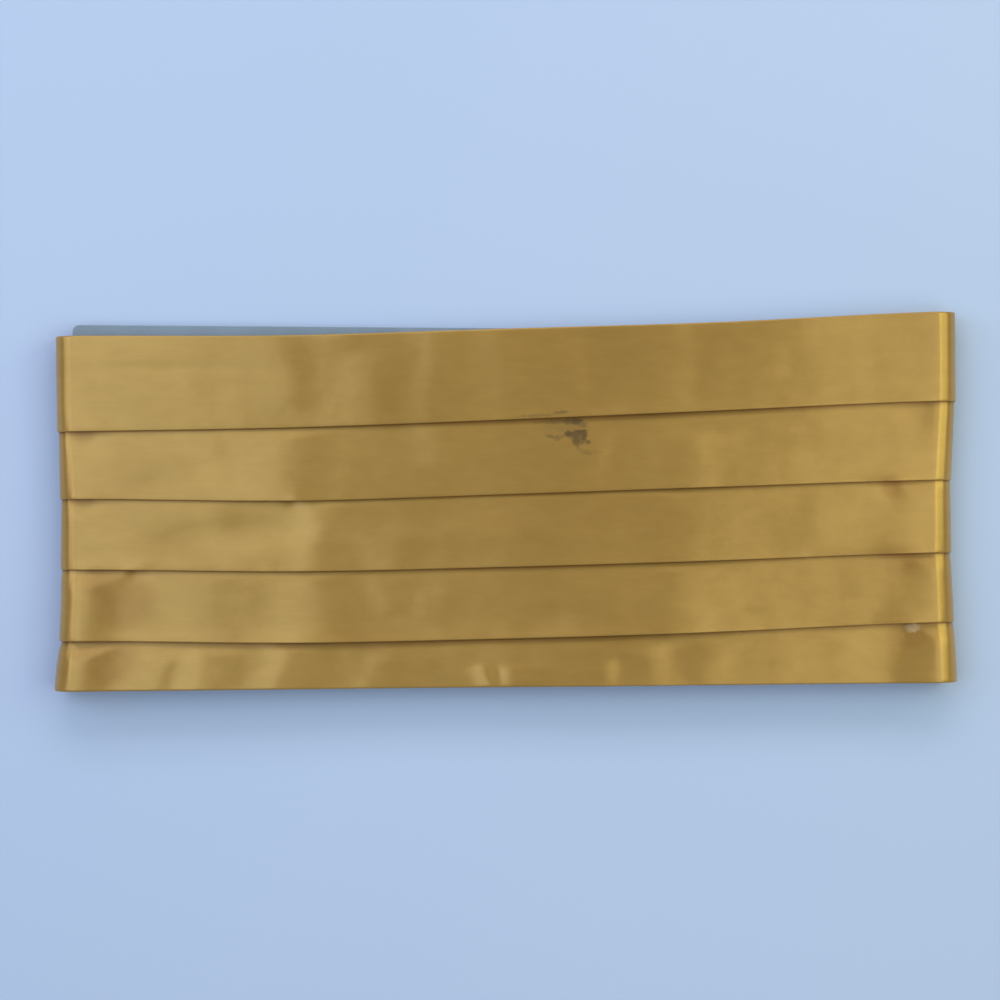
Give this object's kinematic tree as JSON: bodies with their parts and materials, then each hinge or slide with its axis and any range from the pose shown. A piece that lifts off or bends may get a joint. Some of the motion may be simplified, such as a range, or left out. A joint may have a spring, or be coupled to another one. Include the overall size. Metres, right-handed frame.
{
  "type": "cummerbund",
  "caption": "Pleated satin cummerbund folded flat for storage, with both ends behind its front panel and elastic straps hooked together at the back.",
  "frame": {"origin": "on the surface it lies on, under the middle of its outline", "axes": "+X along the length, to the right as its front is seen; +Y from its lower edge to its top edge; +Z out of the pleated front"},
  "size_m": [0.3134, 0.1272, 0.015],
  "materials": {
    "satin": "duchesse satin, soft sheen",
    "lining": "matt plain-woven lining",
    "elastic": "woven elastic webbing",
    "brass": "polished plate"
  },
  "bodies": {
    "root": {"pleat_1": "satin", "pleat_2": "satin", "pleat_3": "satin", "pleat_4": "satin", "pleat_5": "satin", "end_tab_left": "satin", "end_tab_right": "satin", "inner_layers": "lining", "strap_left": "elastic", "strap_right": "elastic", "hook": "brass", "eye": "brass"}
  },
  "joints": []
}
